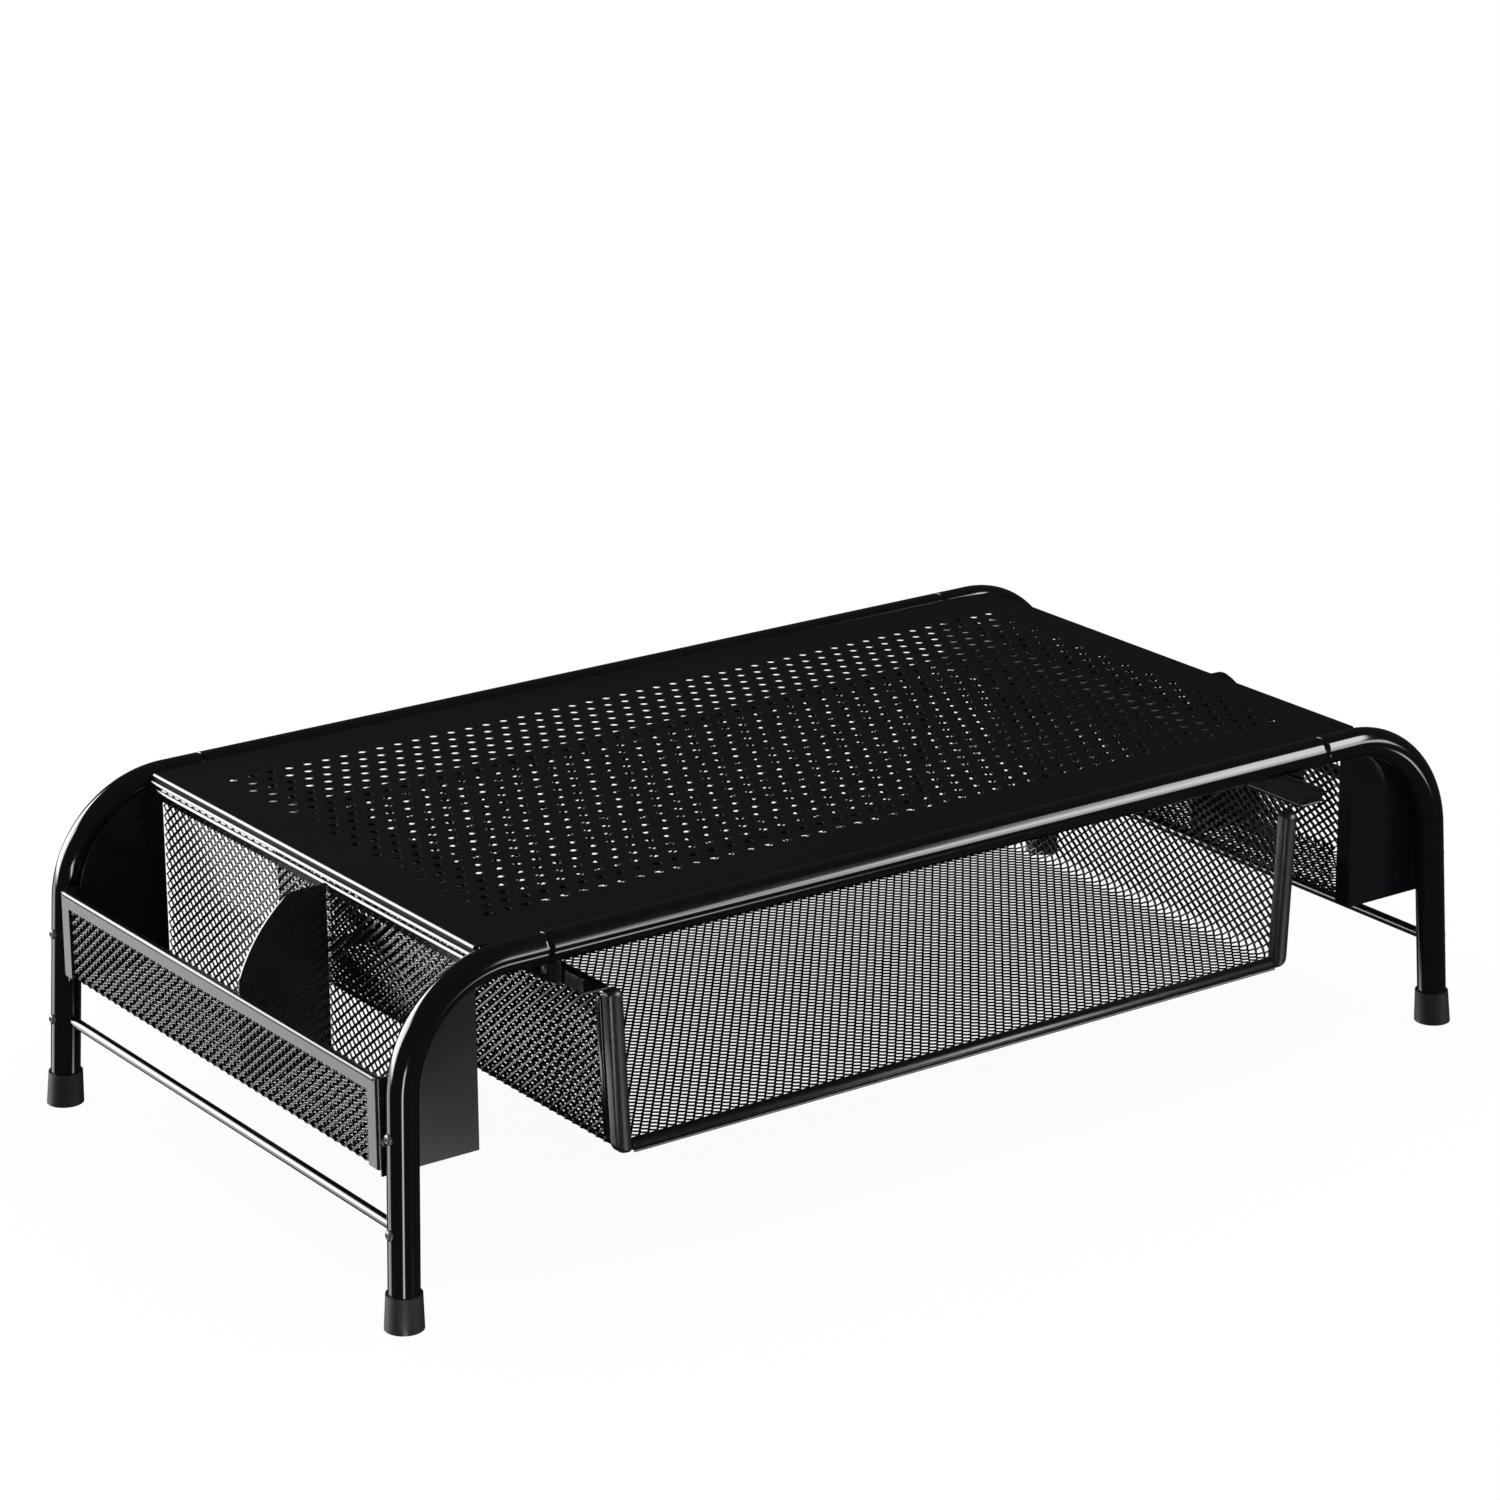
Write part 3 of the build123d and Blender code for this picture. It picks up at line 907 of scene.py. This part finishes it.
def drawer_front_bar():
    """Two posts and the sill between them, round the drawer's open front."""
    low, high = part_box("drawer_front_frame")
    back_y = high.y
    depth = high.y - low.y
    points = []
    faces = []

    def add_bar(edges, squareness):
        """A bar with a rounded front, from edges as (start, end, share of the full depth).

        Start and end are (x, z) points. The lower the squareness, the squarer the front.
        """
        rings = []
        for start, end, fullness in edges:
            start, end = Vector(start), Vector(end)
            ring = []
            for step in range(bar_steps + 1):
                angle = pi * step / bar_steps
                spot = start.lerp(end, (1 - cos(angle)) / 2)
                ring.append((spot.x, back_y - depth * fullness * sin(angle) ** squareness, spot.y))
            rings.append(ring)
        join_solid(points, faces, lofted_rings(rings))

    def side_x(z):
        return high.x - drawer_taper * (high.z - z) / (high.z - low.z)

    def round_in(radius, distance):
        """Inset of an edge at a distance from its rounded end."""
        if distance >= radius:
            return 0.0
        return radius - sqrt(radius**2 - (radius - distance) ** 2)

    top_z = high.z - post_top_gap
    heights = [low.z + bar_corner * (1 - cos(radians(15 * step))) for step in range(7)]
    heights += [top_z - bar_end_round * (1 - cos(radians(22.5 * step))) for step in range(4, -1, -1)]
    for _, side in SIDES:
        edges = []
        for z in heights:
            outer_x = side_x(z) - round_in(bar_corner, z - low.z) - round_in(bar_end_round, top_z - z)
            inner_x = side_x(z) - bar_width + round_in(bar_inner_round, z - low.z)
            inner_x += round_in(bar_end_round, top_z - z)
            fullness = 1.0 - round_in(bar_blunt, min(z - low.z, top_z - z)) / bar_blunt * 0.5
            edges.append(((side * outer_x, z), (side * inner_x, z), fullness))
        add_bar(edges, post_squareness)

    reach = side_x(low.z) - bar_width - groove / 4
    sill_z = low.z + sill_height
    edges = []
    for x, inset in ((-reach, groove), (groove - reach, 0.0), (reach - groove, 0.0), (reach, groove)):
        edges.append(((x, low.z + inset), (x, sill_z - inset / 2), sill_fullness * (1 - inset / MM / 4)))
    add_bar(edges, sill_squareness)
    rings = []
    for x in (-reach, reach):
        centre = Vector((x, low.y + sill_bead, low.z + sill_bead))
        turns = (2 * pi * step / 12 for step in range(12))
        rings.append([centre + Vector((0, cos(turn), sin(turn))) * sill_bead for turn in turns])
    join_solid(points, faces, lofted_rings(rings))
    piece = add_piece(
        "Drawer_front_bar", points, faces, "drawer", bar_coat, ("drawer_front_frame",)
    )
    shade_round(piece)


def drawer_hems():
    """Folded strips that bind the front edges of the drawer's side nets."""
    _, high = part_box("drawer_front_frame")
    side_low, side_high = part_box("right_drawer_side")
    middle_y = high.y + hem_width / 2 + hem_setback
    top_z = side_high.z - hem_top_gap
    bottom_z = side_low.z + drawer_bend
    points = []
    faces = []
    for _, side in SIDES:
        rings = []
        for z, rise in (
            (top_z, 0.3 * hem_rise), (top_z - MM, hem_rise),
            (bottom_z + MM, hem_rise), (bottom_z, 0.3 * hem_rise),
        ):
            base_x = side_high.x - drawer_taper * (side_high.z - z) / (side_high.z - side_low.z) - sheet
            ring = []
            for step in range(9):
                angle = pi * step / 8
                out = base_x + sheet + rise * sin(angle) ** 0.7
                ring.append((side * out, middle_y - hem_width / 2 * cos(angle), z))
            ring.append((side * base_x, middle_y + hem_width / 2, z))
            ring.append((side * base_x, middle_y - hem_width / 2, z))
            rings.append(ring)
        join_solid(points, faces, lofted_rings(rings))
    shade_round(add_piece("Drawer_hems", points, faces, "drawer", trim_coat))


drawer_nets()
drawer_rear_net()
drawer_front_bar()
drawer_hems()


# Screws

def leg_centre(side, end, z):
    """Point of a leg's centre line, from the boxes of the foot caps and the rail."""
    caps_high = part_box("foot_caps")[1]
    rail_low, rail_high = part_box("front_rail")
    rail_z = (rail_low.z + rail_high.z) / 2
    rail_y = -(rail_low.y + rail_high.y) / 2
    foot_y = caps_high.y - cap_base_d / 2
    foot_x = caps_high.x - cap_base_d / 2
    y = foot_y + (rail_y - foot_y) * z / rail_z
    return Vector((side * (foot_x - leg_splay * z), end * y, z))


def leg_screws():
    """On the outside of each leg, one screw for the cross rod and one for the bin."""
    places = []
    for _, side in SIDES:
        for _, end in ENDS:
            for height in (rod_screw_z, panel_screw_z):
                axis = Vector((side, 0, leg_splay))
                places.append((leg_centre(side, end, height) + axis * screw_seat, axis))
    button_screws("Leg_screws", places, screw_d, screw_rise, screw_depth, "riser", screw_coat)


def small_screws(name, places):
    """Screws of the smaller size, on the riser."""
    button_screws(
        name, places, small_screw_d, small_screw_rise, small_screw_depth, "riser", screw_coat
    )


def bin_screws():
    """Small screws through the ends of the bins' outer frames."""
    _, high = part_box("right_bin_outer_frame")
    places = []
    for _, side in SIDES:
        for _, end in ENDS:
            place = (side * (high.x - bin_screw_inset), end * high.y, bin_screw_z)
            places.append((place, (0, end, 0)))
    small_screws("Bin_screws", places)


def runner_screws():
    """Screws on the outside of the runners, near both ends."""
    low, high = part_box("right_runner")
    places = []
    for _, side in SIDES:
        for depth in (low.y + runner_screw_inset, high.y - runner_screw_inset):
            places.append(((side * high.x, depth, low.z + runner_screw_height), (side, 0, 0)))
    small_screws("Runner_screws", places)


leg_screws()
bin_screws()
runner_screws()


# Camera, floor and light

def aim_camera():
    data = bpy.data.cameras.new("Camera")
    camera = bpy.data.objects.new("Camera", data)
    bpy.context.collection.objects.link(camera)
    data.sensor_fit = "HORIZONTAL"
    data.sensor_width = sensor_width
    data.lens = camera_lens
    data.clip_end = 30.0
    camera.location = camera_place
    look = Euler((radians(90 - camera_drop), 0, -radians(camera_turn)), "XYZ").to_matrix()
    roll = Euler((0, 0, radians(camera_roll)), "XYZ").to_matrix()
    camera.rotation_euler = (look @ roll).to_euler()
    bpy.context.scene.camera = camera


def overhead_light():
    """Soft light from above, for the shadow on the floor. Reflections don't show it."""
    data = bpy.data.lights.new("Overhead softbox", "AREA")
    data.shape = "RECTANGLE"
    data.size = overhead_size
    data.size_y = overhead_size
    data.energy = overhead_power
    light = bpy.data.objects.new("Overhead softbox", data)
    bpy.context.collection.objects.link(light)
    light.location = overhead_place
    light.rotation_euler = (-overhead_place).to_track_quat("-Z", "Y").to_euler()
    light.visible_glossy = False


def painted_floor_masks_group():
    """Node group: the painted shade under the riser and the painted wedge of light on the floor, from a
    position.
    """
    group, given, result = node_group(
        "Painted floor shade and light", (("Position", VECTOR),), (("Painted shade", NUMBER), ("Painted light", NUMBER))
    )
    split = group.nodes.new("ShaderNodeSeparateXYZ")
    feed(group, split.inputs["Vector"], given["Position"])
    # Painted shade: a patch under the riser that stands for its shadow on the floor in reflections
    patches = []
    for axis, reach in enumerate(painted_shade_reach):
        distance = math_node(group, "ABSOLUTE", split.outputs[axis])
        patches.append(fade_out(group, distance, reach - painted_shade_edge, reach + painted_shade_edge))
    feed(group, result["Painted shade"], math_node(group, "MULTIPLY", *patches))

    # Painted light: a glowing wedge on the floor that opens from the front left foot
    offset = group.nodes.new("ShaderNodeVectorMath")
    offset.operation = "SUBTRACT"
    feed(group, offset.inputs[0], given["Position"])
    feed(group, offset.inputs[1], painted_wedge_start)
    turn = radians(painted_wedge_turn)
    out = dot_product(group, offset.outputs["Vector"], (sin(turn), cos(turn), 0.0))
    aside = dot_product(group, offset.outputs["Vector"], (cos(turn), -sin(turn), 0.0))
    slope = math_node(group, "ABSOLUTE", math_node(group, "DIVIDE", aside, out))
    edge = tan(radians(painted_wedge_half_angle))
    fan = fade_out(group, slope, 0.4 * edge, 1.4 * edge)
    ahead = math_node(group, "GREATER_THAN", out, painted_wedge_gap)
    feed(group, result["Painted light"], math_node(group, "MULTIPLY", fan, ahead))
    return group


def pale_floor():
    """White floor that keeps a faint shadow, and lets reflections reach the studio below it, but for a
    painted shade under the riser and a painted glowing wedge.
    """
    material = bpy.data.materials.new("Floor paper")
    material.use_nodes = True
    tree = material.node_tree
    nodes = tree.nodes
    paper = nodes["Principled BSDF"]
    paper.inputs["Base Color"].default_value = (0.95, 0.95, 0.95, 1.0)
    paper.inputs["Roughness"].default_value = 0.9
    paper.inputs["Specular IOR Level"].default_value = 0.0
    glow = nodes.new("ShaderNodeEmission")
    # Painted shade: black emission that reflections show under the riser
    painted_shade = nodes.new("ShaderNodeEmission")
    painted_shade.inputs["Color"].default_value = (0.0, 0.0, 0.0, 1.0)
    # Painted light: the wedge on the floor glows, seen only in reflections
    painted_glow = nodes.new("ShaderNodeEmission")
    painted_glow.inputs["Strength"].default_value = painted_wedge_strength
    clear = nodes.new("ShaderNodeBsdfTransparent")
    place = nodes.new("ShaderNodeNewGeometry")
    masks = nodes.new("ShaderNodeGroup")
    masks.node_tree = painted_floor_masks_group()
    feed(tree, masks.inputs["Position"], place.outputs["Position"])
    seen = mix_shaders(tree, floor_glow, paper.outputs["BSDF"], glow.outputs["Emission"])
    shaded = mix_shaders(tree, masks.outputs["Painted shade"], clear.outputs["BSDF"], painted_shade.outputs["Emission"])
    mirrored = mix_shaders(tree, masks.outputs["Painted light"], shaded, painted_glow.outputs["Emission"])
    rays = nodes.new("ShaderNodeLightPath")
    mixed = mix_shaders(tree, rays.outputs["Is Glossy Ray"], seen, mirrored)
    feed(tree, nodes["Material Output"].inputs["Surface"], mixed)
    material.cycles.emission_sampling = "NONE"
    mesh = bpy.data.meshes.new("Floor")
    corners = ((-1, -1), (1, -1), (1, 1), (-1, 1))
    mesh.from_pydata([(x * floor_reach, y * floor_reach, 0) for x, y in corners], [], [(0, 1, 2, 3)])
    mesh.materials.append(material)
    ground = bpy.data.objects.new("Floor", mesh)
    bpy.context.collection.objects.link(ground)


def softbox_group():
    """Node group: mask of a soft-edged panel, seen in a direction."""
    vectors = [(name, VECTOR) for name in ("Direction", "Centre", "Across", "Up")]
    numbers = [(name, NUMBER) for name in ("Half width", "Half height", "Softness", "Strength")]
    group, given, result = node_group("Softbox mask", vectors + numbers, [("Mask", NUMBER)])
    bands = []
    for axis, half_size in (("Across", "Half width"), ("Up", "Half height")):
        distance = math_node(group, "ABSOLUTE", dot_product(group, given["Direction"], given[axis]))
        inner = math_node(group, "SUBTRACT", given[half_size], given["Softness"])
        outer = math_node(group, "ADD", given[half_size], given["Softness"])
        bands.append(fade_out(group, distance, inner, outer))
    ahead = dot_product(group, given["Direction"], given["Centre"])
    facing = math_node(group, "GREATER_THAN", ahead, 0.0)
    shown = math_node(group, "MULTIPLY", math_node(group, "MULTIPLY", *bands), facing)
    feed(group, result["Mask"], math_node(group, "MULTIPLY", shown, given["Strength"]))
    return group


def studio_world():
    """White to the camera and for the floor; soft panels in the riser's reflections."""
    world = bpy.data.worlds.new("Studio")
    bpy.context.scene.world = world
    world.use_nodes = True
    tree = world.node_tree
    nodes = tree.nodes
    white = nodes["Background"]
    white.inputs["Color"].default_value = (1.0, 1.0, 1.0, 1.0)
    white.inputs["Strength"].default_value = 1.0
    position = nodes.new("ShaderNodeTexCoord")
    group = softbox_group()
    total = 0.0
    for box in softboxes:
        turn, height, tilt = (radians(box[name]) for name in ("turn", "height", "tilt"))
        across = Vector((cos(turn), -sin(turn), 0.0))
        up = Vector((-sin(turn) * sin(height), -cos(turn) * sin(height), cos(height)))
        panel = nodes.new("ShaderNodeGroup")
        panel.node_tree = group
        panel_inputs = {
            "Direction": position.outputs["Generated"],
            "Centre": (sin(turn) * cos(height), cos(turn) * cos(height), sin(height)),
            "Across": across * cos(tilt) + up * sin(tilt),
            "Up": up * cos(tilt) - across * sin(tilt),
            "Half width": sin(radians(box["width"] / 2)),
            "Half height": sin(radians(box["tall"] / 2)),
            "Softness": sin(radians(box["softness"])),
            "Strength": box["strength"],
        }
        for name, value in panel_inputs.items():
            feed(tree, panel.inputs[name], value)
        total = math_node(tree, "ADD", total, panel.outputs["Mask"])
    studio = nodes.new("ShaderNodeBackground")
    feed(tree, studio.inputs["Strength"], math_node(tree, "ADD", total, studio_gloom))
    rays = nodes.new("ShaderNodeLightPath")
    mixed = mix_shaders(
        tree, rays.outputs["Is Glossy Ray"], white.outputs["Background"], studio.outputs["Background"]
    )
    feed(tree, nodes["World Output"].inputs["Surface"], mixed)


aim_camera()
pale_floor()
studio_world()
overhead_light()
bpy.context.scene.view_settings.view_transform = "Standard"
